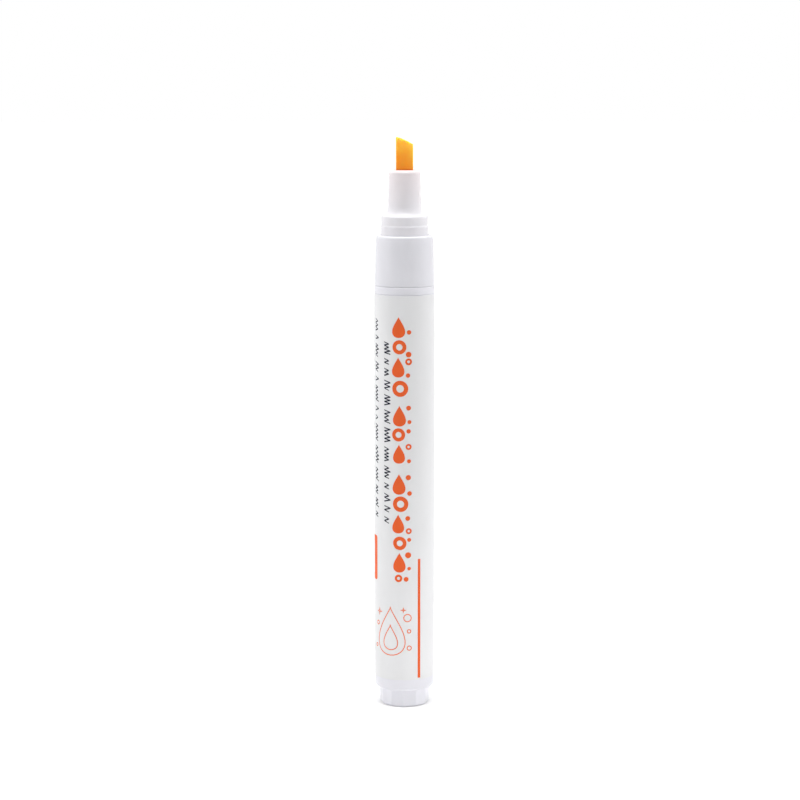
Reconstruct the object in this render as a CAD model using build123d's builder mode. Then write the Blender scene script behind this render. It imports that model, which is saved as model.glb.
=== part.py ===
from build123d import *
from math import hypot, isclose, radians, tan
import os

# A valve-action stain remover pen, standing on its end plug with the nib up.
# All sizes are in millimetres. Z = 0 is the flat end of the plug, and Z is the pen's axis.
# The broad side of the nib and the front of the label face -Y.

os.makedirs("parts", exist_ok=True)

# Driving sizes

pen_radius = 7.4           # outside of the bare barrel
barrel_length = 101.85     # lower rim to the shoulder under the grip sleeve
barrel_wall = 1.55
grip_length = 12.37        # the sleeve between the barrel and the collar
collar_setback = 1.55      # from the barrel's outside in to the collar, a flush cap's wall
collar_height = 2.18       # the seat that a cap slides over, up to its small step
nozzle_tip_radius = 3.82
nozzle_length = 11.1       # collar's top to the nozzle's mouth
nib_width = 4.25
nib_thickness = 3.0
nib_reach = 7.98           # nib's point above the nozzle's mouth
valve_travel = 2.5         # how far the nib presses in
cut_overrun = 1.0          # how far a cutter runs past what it cuts

# Sizes of the end plug

knob_height = 4.25
knob_overhang = 0.37       # knob's corners beyond the barrel's bore
knob_sides = 12
knob_turn = 28.5           # degrees that its corners are turned from the front
knob_draft = 1.0           # degrees
knob_edge_round = 0.9
plug_depth = 9.0           # spigot inside the barrel
plug_clearance = 0.06
plug_wall = 1.3
plug_floor = 1.6
plug_lead_length = 0.9     # tapered end that enters the barrel first
plug_lead_depth = 0.35
seal_bead_clearance = 0.02
seal_bead_width = 0.5
seal_bead_places = (2.2, 4.4, 6.6)   # heights above the barrel's rim

# Sizes of the barrel

barrel_foot_round = 1.25
barrel_mouth_chamfer = 0.1
barrel_rim_chamfer = 0.3
neck_wall = 1.3
bore_taper_length = 2.0    # where the bore narrows into the neck
snap_bead_height = 0.22
snap_bead_width = 1.0
snap_bead_lift = 2.6       # above the shoulder

# Sizes of the label

label_adhesive = 0.01
label_thickness = 0.08
label_margin_top = 2.1     # bare barrel above the label
label_margin_foot = 3.1    # bare barrel below it
label_seam_angle = 3.0     # degrees from +X to the middle of the bare seam
label_seam_width = 2.4
label_corner = 2.0

# Sizes of the grip sleeve

sleeve_ledge = 0.03        # the sleeve stands this far inside the barrel's outside
sleeve_narrowing = 0.33    # from its foot to its top
sleeve_wall = 0.95         # at its foot
sleeve_clearance = 0.05
sleeve_lip = 1.2
sleeve_edge_round = 0.45
snap_groove_clearance = 0.05

# Sizes of the nozzle

nozzle_flange = 1.0
collar_clearance = 0.07
collar_relief = 0.35       # undercut of the collar inside the sleeve's lip
collar_step = 0.12
collar_step_rise = 0.35    # height of the slope that makes the step
collar_top_height = 2.7
collar_draft = 0.03        # narrowing of the collar above its step
shoulder_land_share = 0.22  # flat ring at the collar's edge, of the shoulder's width
collar_round_share = 0.9    # rounding of that edge, of the flat ring's width
nozzle_draft = 0.3         # how much wider the nozzle is at its root
nozzle_root_height = 2.3    # height of the hollow curve at the nozzle's root
nozzle_rim_round = 0.8
nozzle_bore_margin = 0.21  # beyond the mouth's corners
mouth_length = 4.3
nib_clearance = 0.1
vent_radius = 0.35
chamber_margin = 0.5       # room above the stem's cup
chamber_cone = 1.2
chamber_share = 0.45       # of the way from the cup out to the collar's undercut

# Sizes of the nib

nib_slant = 22.5           # degrees
nib_edge_round = 0.25

# Sizes of the valve

gasket_thickness = 0.6
gasket_inset = 0.08        # clear of the neck's bore
housing_flange = 0.9
housing_clearance = 0.06
housing_wall = 0.7
housing_cup_depth = 2.54
web_thickness = 1.2
web_hole_radius = 1.9
travel_margin = 1.3        # left under the cup when the nib is fully pressed
seal_thickness = 0.8
seal_radius = 2.7
stem_radius = 1.2
stem_clearance = 0.04
head_radius = 2.85
head_thickness = 1.1
boss_radius = 1.5
boss_height = 1.3
tail_radius = 0.9
tail_length = 6.4
tail_chamfer = 0.3
cup_wall = 0.6
cup_floor = 1.4
cup_depth = 3.6
cup_slot_width = 1.2
cup_socket_depth = 1.0     # how far the stem stands into the cup's floor
cup_socket_clearance = 0.02
pocket_clearance = 0.05
spring_length = 5.8
spring_turns = 6
wire_radius = 0.2
wire_sides = 16            # flats that stand for the round wire
spring_clearance = 0.3     # between the wire and the stem's boss
cage_clearance = 0.04
cage_floor = 1.2
cage_wall = 0.6
cage_wall_height = 2.4
cage_hole_clearance = 0.1
flow_hole_share = 0.4      # hole's radius, of the ring's width outside the spring
flow_hole_count = 8
lug_height = 1.0
lug_reach = 0.3
lug_width = 1.8
lug_lift = 1.2             # above the cage's floor
lug_clearance = 0.1
lug_count = 4

# Heights

barrel_foot_z = knob_height
shoulder_z = barrel_foot_z + barrel_length
sleeve_top_z = shoulder_z + grip_length
lip_foot_z = sleeve_top_z - sleeve_lip
nozzle_foot_z = lip_foot_z - nozzle_flange
housing_flange_z = nozzle_foot_z - housing_flange
neck_top_z = housing_flange_z - gasket_thickness
collar_step_z = sleeve_top_z + collar_height
collar_top_z = collar_step_z + collar_top_height
nozzle_top_z = collar_top_z + nozzle_length
web_top_z = nozzle_foot_z - housing_cup_depth
web_foot_z = web_top_z - web_thickness
head_top_z = web_foot_z - seal_thickness
head_foot_z = head_top_z - head_thickness
cage_floor_z = head_foot_z - spring_length
housing_foot_z = cage_floor_z - cage_floor
cup_foot_z = web_top_z + valve_travel + travel_margin
pocket_z = cup_foot_z + cup_floor
cup_top_z = pocket_z + cup_depth
chamber_top_z = cup_top_z + chamber_margin

# Radii that follow from walls and clearances

collar_radius = pen_radius - collar_setback
bore_radius = pen_radius - barrel_wall
sleeve_foot_radius = pen_radius - sleeve_ledge
sleeve_top_radius = sleeve_foot_radius - sleeve_narrowing
sleeve_bore_radius = sleeve_foot_radius - sleeve_wall
neck_radius = sleeve_bore_radius - sleeve_clearance
neck_bore_radius = neck_radius - neck_wall
lip_bore_radius = collar_radius + collar_clearance
housing_radius = neck_bore_radius - housing_clearance
housing_bore_radius = housing_radius - housing_wall
spring_radius = boss_radius + spring_clearance + wire_radius
pocket_width = nib_width + 2 * pocket_clearance
pocket_thickness = nib_thickness + 2 * pocket_clearance
cup_radius = hypot(pocket_width, pocket_thickness) / 2 + cup_wall


# Barrel

bead_z = shoulder_z + snap_bead_lift
taper_foot_z = housing_foot_z - bore_taper_length - cut_overrun

with BuildPart() as barrel:
    with BuildSketch(Plane.XZ):
        with BuildLine():
            Polyline(
                (bore_radius, barrel_foot_z + barrel_mouth_chamfer),
                (bore_radius + barrel_mouth_chamfer, barrel_foot_z),
                (pen_radius, barrel_foot_z),
                (pen_radius, shoulder_z - barrel_rim_chamfer),
                (pen_radius - barrel_rim_chamfer, shoulder_z),
                (neck_radius, shoulder_z),
                (neck_radius, bead_z),
                (neck_radius + snap_bead_height, bead_z + snap_bead_height),
                (neck_radius + snap_bead_height, bead_z + snap_bead_width - snap_bead_height),
                (neck_radius, bead_z + snap_bead_width),
                (neck_radius, neck_top_z - barrel_mouth_chamfer),
                (neck_radius - barrel_mouth_chamfer, neck_top_z),
                (neck_bore_radius, neck_top_z),
                (neck_bore_radius, taper_foot_z + bore_taper_length),
                (bore_radius, taper_foot_z),
                close=True,
            )
        make_face()
    revolve(axis=Axis.Z)
    foot_edges = barrel.edges().filter_by(GeomType.CIRCLE).group_by(Axis.Z)[0]
    fillet(foot_edges.sort_by(SortBy.RADIUS)[-1], barrel_foot_round)

barrel.part.label = "barrel"
export_step(barrel.part, "parts/barrel.step")


# Label, a film that wraps the barrel and stops short of meeting itself

label_inner_radius = pen_radius + label_adhesive
label_foot_z = barrel_foot_z + label_margin_foot
label_top_z = shoulder_z - label_margin_top

label_length = label_top_z - label_foot_z
label_middle_z = (label_top_z + label_foot_z) / 2
end_strip_width = 4 * label_corner

with BuildPart() as label:
    with BuildSketch(Plane.XY.offset(label_foot_z)):
        Circle(label_inner_radius + label_thickness)
        Circle(label_inner_radius, mode=Mode.SUBTRACT)
    extrude(amount=label_length)
    with BuildSketch(Plane.YZ.rotated((0, 0, label_seam_angle))):
        with Locations((0, label_middle_z)):
            Rectangle(label_seam_width + end_strip_width, label_length + 2 * cut_overrun)
            with GridLocations(label_seam_width + end_strip_width, 0, 2, 1):
                RectangleRounded(end_strip_width, label_length, label_corner, mode=Mode.SUBTRACT)
    extrude(amount=pen_radius + cut_overrun, mode=Mode.SUBTRACT)

label.part.label = "label"
export_step(label.part, "parts/label.step")


# End plug, with a faceted knob and a hollow spigot that carries three sealing beads

knob_radius = bore_radius + knob_overhang
spigot_radius = bore_radius - plug_clearance
bead_radius = bore_radius - seal_bead_clearance
spigot_top_z = barrel_foot_z + plug_depth

with BuildPart() as rear_plug:
    with BuildSketch(Plane.XY.offset(barrel_foot_z)):
        RegularPolygon(knob_radius, knob_sides, rotation=knob_turn)
    extrude(amount=-knob_height, taper=knob_draft)
    fillet(rear_plug.edges().group_by(Axis.Z)[0], knob_edge_round)
    with BuildSketch(Plane.XY.offset(barrel_foot_z)):
        Circle(spigot_radius)
    extrude(amount=plug_depth)
    chamfer(rear_plug.edges().group_by(Axis.Z)[-1], plug_lead_length, plug_lead_depth)
    for place in seal_bead_places:
        with BuildSketch(Plane.XY.offset(barrel_foot_z + place)):
            Circle(bead_radius)
        extrude(amount=seal_bead_width)
    with BuildSketch(Plane.XY.offset(plug_floor)):
        Circle(spigot_radius - plug_wall)
    extrude(amount=spigot_top_z - plug_floor + cut_overrun, mode=Mode.SUBTRACT)

rear_plug.part.label = "rear_plug"
export_step(rear_plug.part, "parts/rear_plug.step")


# Grip sleeve, snapped over the barrel's neck, with a lip that holds the nozzle down

groove_radius = neck_radius + snap_bead_height + snap_groove_clearance
groove_foot_z = bead_z - snap_groove_clearance
groove_top_z = bead_z + snap_bead_width + snap_groove_clearance
groove_slope = groove_radius - sleeve_bore_radius

with BuildPart() as grip_sleeve:
    with BuildSketch(Plane.XZ):
        with BuildLine():
            Polyline(
                (sleeve_bore_radius, shoulder_z),
                (sleeve_foot_radius, shoulder_z),
                (sleeve_top_radius, sleeve_top_z),
                (lip_bore_radius, sleeve_top_z),
                (lip_bore_radius, lip_foot_z),
                (sleeve_bore_radius, lip_foot_z),
                (sleeve_bore_radius, groove_top_z),
                (groove_radius, groove_top_z - groove_slope),
                (groove_radius, groove_foot_z + groove_slope),
                (sleeve_bore_radius, groove_foot_z),
                close=True,
            )
        make_face()
    revolve(axis=Axis.Z)
    top_edges = grip_sleeve.edges().filter_by(GeomType.CIRCLE).group_by(Axis.Z)[-1]
    fillet(top_edges.sort_by(SortBy.RADIUS)[-1], sleeve_edge_round)

grip_sleeve.part.label = "grip_sleeve"
export_step(grip_sleeve.part, "parts/grip_sleeve.step")


# Nozzle, one moulding with the collar that the cap seats on

collar_top_radius = collar_radius - collar_step - collar_draft
nozzle_root_radius = nozzle_tip_radius + nozzle_draft
shoulder_land = shoulder_land_share * (collar_top_radius - nozzle_root_radius)
land_radius = collar_top_radius - shoulder_land
root_z = collar_top_z + nozzle_root_height
relief_radius = collar_radius - collar_relief
chamber_radius = cup_radius + chamber_share * (relief_radius - cup_radius)
mouth_z = nozzle_top_z - mouth_length
mouth_width = nib_width + 2 * nib_clearance
mouth_thickness = nib_thickness + 2 * nib_clearance
nozzle_bore_radius = hypot(mouth_width, mouth_thickness) / 2 + nozzle_bore_margin

with BuildPart() as nozzle:
    with BuildSketch(Plane.XZ):
        with BuildLine():
            Polyline(
                (land_radius, collar_top_z),
                (collar_top_radius, collar_top_z),
                (collar_radius - collar_step, collar_step_z + collar_step_rise),
                (collar_radius, collar_step_z),
                (collar_radius, sleeve_top_z),
                (relief_radius, sleeve_top_z - collar_relief),
                (relief_radius, lip_foot_z),
                (sleeve_bore_radius - sleeve_clearance, lip_foot_z),
                (sleeve_bore_radius - sleeve_clearance, nozzle_foot_z),
                (chamber_radius, nozzle_foot_z),
                (chamber_radius, chamber_top_z),
                (nozzle_bore_radius, chamber_top_z + chamber_cone),
                (nozzle_bore_radius, mouth_z),
                (0, mouth_z),
                (0, nozzle_top_z),
                (nozzle_tip_radius, nozzle_top_z),
                (nozzle_root_radius, root_z),
            )
            EllipticalCenterArc(
                (land_radius, root_z),
                land_radius - nozzle_root_radius,
                nozzle_root_height,
                start_angle=180,
                arc_size=90,
            )
        make_face()
    revolve(axis=Axis.Z)
    rim_edges = nozzle.edges().filter_by(GeomType.CIRCLE).group_by(Axis.Z)[-1]
    fillet(rim_edges, nozzle_rim_round)
    collar_edges = nozzle.edges().filter_by(GeomType.CIRCLE)
    collar_edges = collar_edges.filter_by(lambda edge: isclose(edge.radius, collar_top_radius))
    fillet(collar_edges.sort_by(Axis.Z)[-1], collar_round_share * shoulder_land)
    with BuildSketch(Plane.XY.offset(nozzle_top_z + cut_overrun)):
        RectangleRounded(mouth_width, mouth_thickness, nib_edge_round)
        with GridLocations(mouth_width / 2, mouth_thickness, 2, 2):
            Circle(vent_radius)
    extrude(amount=-(mouth_length + cut_overrun), mode=Mode.SUBTRACT)

nozzle.part.label = "nozzle"
export_step(nozzle.part, "parts/nozzle.step")


# Nib, a bar of bonded fibre with a slanted end

nib_tip_z = nozzle_top_z + nib_reach
nib_heel_z = nib_tip_z - nib_width * tan(radians(nib_slant))

with BuildPart() as nib:
    with BuildSketch(Plane.XZ):
        with BuildLine():
            Polyline(
                (-nib_width / 2, pocket_z),
                (nib_width / 2, pocket_z),
                (nib_width / 2, nib_heel_z),
                (-nib_width / 2, nib_tip_z),
                close=True,
            )
        make_face()
    extrude(amount=nib_thickness / 2, both=True)
    fillet(nib.edges().filter_by(Axis.Z), nib_edge_round)

nib.part.label = "nib"
export_step(nib.part, "parts/nib.step")


# Gasket between the neck's rim and the valve housing

with BuildPart() as neck_gasket:
    with BuildSketch(Plane.XY.offset(neck_top_z)):
        Circle(neck_radius)
        Circle(neck_bore_radius + gasket_inset, mode=Mode.SUBTRACT)
    extrude(amount=gasket_thickness)

neck_gasket.part.label = "neck_gasket"
export_step(neck_gasket.part, "parts/neck_gasket.step")


# Valve housing, hung in the neck by its flange, with the seat web across it

lug_foot_z = cage_floor_z + lug_lift

with BuildPart() as valve_housing:
    with BuildSketch(Plane.XZ):
        with BuildLine():
            Polyline(
                (housing_bore_radius, housing_foot_z),
                (housing_radius, housing_foot_z),
                (housing_radius, housing_flange_z),
                (neck_radius, housing_flange_z),
                (neck_radius, nozzle_foot_z),
                (housing_bore_radius, nozzle_foot_z),
                (housing_bore_radius, web_top_z),
                (web_hole_radius, web_top_z),
                (web_hole_radius, web_foot_z),
                (housing_bore_radius, web_foot_z),
                close=True,
            )
        make_face()
    revolve(axis=Axis.Z)
    with BuildSketch(Plane.XY.offset(lug_foot_z - lug_clearance)):
        with PolarLocations(housing_bore_radius, lug_count):
            Rectangle(2 * housing_wall + cut_overrun, lug_width + 2 * lug_clearance)
    extrude(amount=lug_height + 2 * lug_clearance, mode=Mode.SUBTRACT)

valve_housing.part.label = "valve_housing"
export_step(valve_housing.part, "parts/valve_housing.step")


# Valve stem, with the valve head and the spring's boss below the web

with BuildPart() as valve_stem:
    with BuildSketch(Plane.XY.offset(head_foot_z - boss_height - tail_length)):
        Circle(tail_radius)
    extrude(amount=tail_length)
    chamfer(valve_stem.edges().group_by(Axis.Z)[0], tail_chamfer)
    with BuildSketch(Plane.XY.offset(head_foot_z - boss_height)):
        Circle(boss_radius)
    extrude(amount=boss_height)
    with BuildSketch(Plane.XY.offset(head_foot_z)):
        Circle(head_radius)
    extrude(amount=head_thickness)
    with BuildSketch(Plane.XY.offset(head_top_z)):
        Circle(stem_radius)
    extrude(amount=cup_foot_z + cup_socket_depth - head_top_z)

valve_stem.part.label = "valve_stem"
export_step(valve_stem.part, "parts/valve_stem.step")


# Nib cup, pressed on the stem once the stem is through the web

with BuildPart() as nib_cup:
    with BuildSketch(Plane.XY.offset(cup_foot_z)):
        Circle(cup_radius)
    extrude(amount=cup_top_z - cup_foot_z)
    with BuildSketch(Plane.XY.offset(pocket_z)):
        RectangleRounded(pocket_width, pocket_thickness, nib_edge_round)
        Rectangle(2 * cup_radius + cut_overrun, cup_slot_width)
    extrude(amount=cup_depth + cut_overrun, mode=Mode.SUBTRACT)
    with BuildSketch(Plane.XY.offset(cup_foot_z)):
        Circle(stem_radius + cup_socket_clearance)
    extrude(amount=cup_socket_depth, mode=Mode.SUBTRACT)

nib_cup.part.label = "nib_cup"
export_step(nib_cup.part, "parts/nib_cup.step")


# Valve seal, a soft washer that the head presses against the web

with BuildPart() as valve_seal:
    with BuildSketch(Plane.XY.offset(head_top_z)):
        Circle(seal_radius)
        Circle(stem_radius + stem_clearance, mode=Mode.SUBTRACT)
    extrude(amount=seal_thickness)

valve_seal.part.label = "valve_seal"
export_step(valve_seal.part, "parts/valve_seal.step")


# Spring cage, the snapped-in floor that carries the spring and guides the stem's tail

cage_radius = housing_bore_radius - cage_clearance
guide_radius = tail_radius + cage_hole_clearance
flow_ring_inner = spring_radius + wire_radius
flow_ring_outer = cage_radius - cage_wall
flow_ring_radius = (flow_ring_inner + flow_ring_outer) / 2
flow_hole_radius = flow_hole_share * (flow_ring_outer - flow_ring_inner)

with BuildPart() as spring_cage:
    with BuildSketch(Plane.XY.offset(housing_foot_z)):
        Circle(cage_radius)
        Circle(guide_radius, mode=Mode.SUBTRACT)
        with PolarLocations(flow_ring_radius, flow_hole_count):
            Circle(flow_hole_radius, mode=Mode.SUBTRACT)
    extrude(amount=cage_floor)
    with BuildSketch(Plane.XY.offset(cage_floor_z)):
        Circle(cage_radius)
        Circle(flow_ring_outer, mode=Mode.SUBTRACT)
    extrude(amount=cage_wall_height)
    with BuildSketch(Plane.XY.offset(lug_foot_z)):
        with PolarLocations(cage_radius, lug_count):
            Rectangle(2 * lug_reach, lug_width)
    extrude(amount=lug_height)

spring_cage.part.label = "spring_cage"
export_step(spring_cage.part, "parts/spring_cage.step")


# Valve spring, at the length that it has with the valve shut

coil_height = spring_length - 2 * wire_radius

with BuildPart() as valve_spring:
    with BuildLine():
        coil = Helix(
            pitch=coil_height / spring_turns,
            height=coil_height,
            radius=spring_radius,
            center=(0, 0, cage_floor_z + wire_radius),
        )
    with BuildSketch(coil ^ 0):
        RegularPolygon(wire_radius, wire_sides)
    sweep(is_frenet=True)

valve_spring.part.label = "valve_spring"
export_step(valve_spring.part, "parts/valve_spring.step")

print("nib point at", round(nib_tip_z, 2), "nozzle top at", round(nozzle_top_z, 2))
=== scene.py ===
import random
from math import cos, pi, radians, sin, sqrt, tan
import bmesh
import bpy
from mathutils import Matrix, Vector


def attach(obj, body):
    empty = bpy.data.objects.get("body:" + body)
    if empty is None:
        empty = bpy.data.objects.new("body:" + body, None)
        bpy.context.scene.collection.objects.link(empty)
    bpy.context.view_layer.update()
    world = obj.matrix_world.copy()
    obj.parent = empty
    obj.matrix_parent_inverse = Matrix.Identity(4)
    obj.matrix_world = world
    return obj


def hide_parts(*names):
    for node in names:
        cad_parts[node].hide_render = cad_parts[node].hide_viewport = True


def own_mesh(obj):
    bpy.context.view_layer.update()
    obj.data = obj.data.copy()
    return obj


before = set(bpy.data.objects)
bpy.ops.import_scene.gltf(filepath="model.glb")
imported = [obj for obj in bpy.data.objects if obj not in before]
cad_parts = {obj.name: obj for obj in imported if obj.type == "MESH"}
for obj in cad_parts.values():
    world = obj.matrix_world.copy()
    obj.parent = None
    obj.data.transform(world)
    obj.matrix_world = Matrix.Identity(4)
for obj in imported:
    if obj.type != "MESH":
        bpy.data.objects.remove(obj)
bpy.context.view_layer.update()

# Pieces are modelled in millimetres, standing on the end plug, and brought to metres
# when they are finished. The front of the pen faces -Y.
mm = 0.001


# Materials

# how deep each surface's relief is, in millimetres
reliefDepth = {"ink": 0.003, "film": 0.004, "fibre": 0.02, "rubber": 0.01, "wire": 0.003}
# how much rougher a surface gets where it is smeared, or its ink is thin
roughnessRise = {"plastic": 0.12, "ink": 0.1, "film": 0.1}


def addNode(tree, kind, values=None, **settings):
    made = tree.nodes.new(kind)
    for key, value in settings.items():
        setattr(made, key, value)
    for key, value in (values or {}).items():
        made.inputs[key].default_value = value
    return made


def newGroup(name, inputs, outputs):
    group = bpy.data.node_groups.new(name, "ShaderNodeTree")
    for label, value in inputs.items():
        socket = group.interface.new_socket(label, in_out="INPUT", socket_type="NodeSocketFloat")
        socket.default_value = value
    for label in outputs:
        group.interface.new_socket(label, in_out="OUTPUT", socket_type="NodeSocketFloat")
    return group, group.nodes.new("NodeGroupInput"), group.nodes.new("NodeGroupOutput")


def makeMouldGrain(flowShare=0.35):
    # the fine satin skin of a moulded piece, and slow changes of tone under it
    group, given, result = newGroup("mouldGrain", {"Fineness": 5200, "Flow": 140}, ("Height", "Tone"))
    place = addNode(group, "ShaderNodeTexCoord")
    fine = addNode(group, "ShaderNodeTexNoise", {"Detail": 3.0, "Roughness": 0.6})
    flow = addNode(group, "ShaderNodeTexNoise", {"Detail": 2.0, "Roughness": 0.45, "Distortion": 0.6})
    mix = addNode(group, "ShaderNodeMath", {1: flowShare}, operation="MULTIPLY")
    total = addNode(group, "ShaderNodeMath", operation="ADD")
    group.links.new(place.outputs["Object"], fine.inputs["Vector"])
    group.links.new(place.outputs["Object"], flow.inputs["Vector"])
    group.links.new(given.outputs["Fineness"], fine.inputs["Scale"])
    group.links.new(given.outputs["Flow"], flow.inputs["Scale"])
    group.links.new(flow.outputs["Fac"], mix.inputs[0])
    group.links.new(fine.outputs["Fac"], total.inputs[0])
    group.links.new(mix.outputs[0], total.inputs[1])
    group.links.new(total.outputs[0], result.inputs["Height"])
    group.links.new(flow.outputs["Fac"], result.inputs["Tone"])
    return group


def makeHandling():
    # faint smears that fingers leave, drawn out round the pen
    group, given, result = newGroup("handlingSmears", {"Size": 160, "Amount": 0.5}, ("Mask",))
    place = addNode(group, "ShaderNodeTexCoord")
    stretch = addNode(group, "ShaderNodeMapping", {"Scale": (1.0, 1.0, 1.7), "Rotation": (0.2, 0.1, 0.4)})
    cloud = addNode(group, "ShaderNodeTexNoise", {"Detail": 5.0, "Roughness": 0.62, "Distortion": 1.1})
    edge = addNode(group, "ShaderNodeMapRange", {"From Min": 0.46, "From Max": 0.66})
    scale = addNode(group, "ShaderNodeMath", operation="MULTIPLY")
    group.links.new(place.outputs["Object"], stretch.inputs["Vector"])
    group.links.new(stretch.outputs["Vector"], cloud.inputs["Vector"])
    group.links.new(given.outputs["Size"], cloud.inputs["Scale"])
    group.links.new(cloud.outputs["Fac"], edge.inputs["Value"])
    group.links.new(edge.outputs["Result"], scale.inputs[0])
    group.links.new(given.outputs["Amount"], scale.inputs[1])
    group.links.new(scale.outputs[0], result.inputs["Mask"])
    return group


mouldGrain = makeMouldGrain()
handlingSmears = makeHandling()


def newMaterial(name, **shaderValues):
    material = bpy.data.materials.new(name)
    material.use_nodes = True
    tree = material.node_tree
    shader = tree.nodes["Principled BSDF"]
    for key, value in shaderValues.items():
        shader.inputs[key.replace("_", " ")].default_value = value
    return material, tree, shader


def placeGroup(tree, group, **values):
    made = addNode(tree, "ShaderNodeGroup", node_tree=group)
    for key, value in values.items():
        made.inputs[key].default_value = value
    return made


def mixColours(tree, factor, dark, light):
    mix = addNode(tree, "ShaderNodeMix", data_type="RGBA")
    for socket, value in ((mix.inputs["A"], dark), (mix.inputs["B"], light)):
        if isinstance(value, tuple):
            socket.default_value = (*value, 1)
        else:
            tree.links.new(value, socket)
    tree.links.new(factor, mix.inputs["Factor"])
    return mix.outputs["Result"]


def bump(tree, shader, height, depth):
    # depth is in millimetres
    made = addNode(tree, "ShaderNodeBump", {"Strength": 1.0, "Distance": depth * mm})
    tree.links.new(height, made.inputs["Height"])
    tree.links.new(made.outputs["Normal"], shader.inputs["Normal"])


def spread(tree, value, low, high):
    made = addNode(tree, "ShaderNodeMapRange", {"To Min": low, "To Max": high})
    tree.links.new(value, made.inputs["Value"])
    return made.outputs["Result"]


def mouldedPlastic(name, dark, light, rough, fineness=5200, depth=0.004, glow=0.0, smears=0.35,
                   stain=None):
    material, tree, shader = newMaterial(
        name, Subsurface_Weight=glow, Subsurface_Scale=1.2 * mm, Subsurface_Radius=(1.0, 0.95, 0.9),
        Specular_IOR_Level=0.5, IOR=1.49, Coat_Weight=0.05, Coat_Roughness=0.35)
    grain = placeGroup(tree, mouldGrain, Fineness=fineness)
    smear = placeGroup(tree, handlingSmears, Amount=smears)
    body = mixColours(tree, grain.outputs["Tone"], dark, light)
    if stain:   # the liquid's colour, stronger towards the upper end
        place = addNode(tree, "ShaderNodeTexCoord")
        split = addNode(tree, "ShaderNodeSeparateXYZ")
        rise = addNode(tree, "ShaderNodeMapRange", {
            "From Min": stain["low"] * mm, "From Max": stain["high"] * mm, "To Max": stain["amount"]})
        tree.links.new(place.outputs["Object"], split.inputs["Vector"])
        tree.links.new(split.outputs["Z"], rise.inputs["Value"])
        body = mixColours(tree, rise.outputs["Result"], body, stain["colour"])
    tree.links.new(body, shader.inputs["Base Color"])
    tree.links.new(spread(tree, smear.outputs["Mask"], rough, rough + roughnessRise["plastic"]),
                   shader.inputs["Roughness"])
    bump(tree, shader, grain.outputs["Height"], depth)
    return material


def printedInk(name, colour, rough, thinShare=0.95, thinAdded=0.012):
    # flat ink with the faint unevenness of a printing plate
    material, tree, shader = newMaterial(name, Specular_IOR_Level=0.22)
    grain = placeGroup(tree, mouldGrain, Fineness=8200, Flow=420)
    thin = tuple(min(1.0, c * thinShare + thinAdded) for c in colour)
    tree.links.new(mixColours(tree, grain.outputs["Tone"], colour, thin), shader.inputs["Base Color"])
    tree.links.new(spread(tree, grain.outputs["Tone"], rough, rough + roughnessRise["ink"]),
                   shader.inputs["Roughness"])
    bump(tree, shader, grain.outputs["Height"], reliefDepth["ink"])
    return material


def labelFilmMaterial(values):
    material, tree, shader = newMaterial(
        "labelFilm", Specular_IOR_Level=0.45, Sheen_Weight=0.05, Sheen_Roughness=0.5)
    grain = placeGroup(tree, mouldGrain, Fineness=3100, Flow=90)
    smear = placeGroup(tree, handlingSmears, Size=110, Amount=0.4)
    place = addNode(tree, "ShaderNodeTexCoord")
    streaks = addNode(tree, "ShaderNodeMapping", {"Scale": (2200, 2200, 160)})
    web = addNode(tree, "ShaderNodeTexNoise", {"Scale": 1.0, "Detail": 2.0})
    tree.links.new(place.outputs["Object"], streaks.inputs["Vector"])
    tree.links.new(streaks.outputs["Vector"], web.inputs["Vector"])
    body = mixColours(tree, grain.outputs["Tone"], values["dark"], values["light"])
    tree.links.new(mixColours(tree, spread(tree, web.outputs["Fac"], 0.0, values["streakAmount"]), body,
                              values["streak"]),
                   shader.inputs["Base Color"])
    tree.links.new(spread(tree, smear.outputs["Mask"], values["rough"],
                          values["rough"] + roughnessRise["film"]),
                   shader.inputs["Roughness"])
    bump(tree, shader, grain.outputs["Height"], reliefDepth["film"])
    return material


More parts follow.
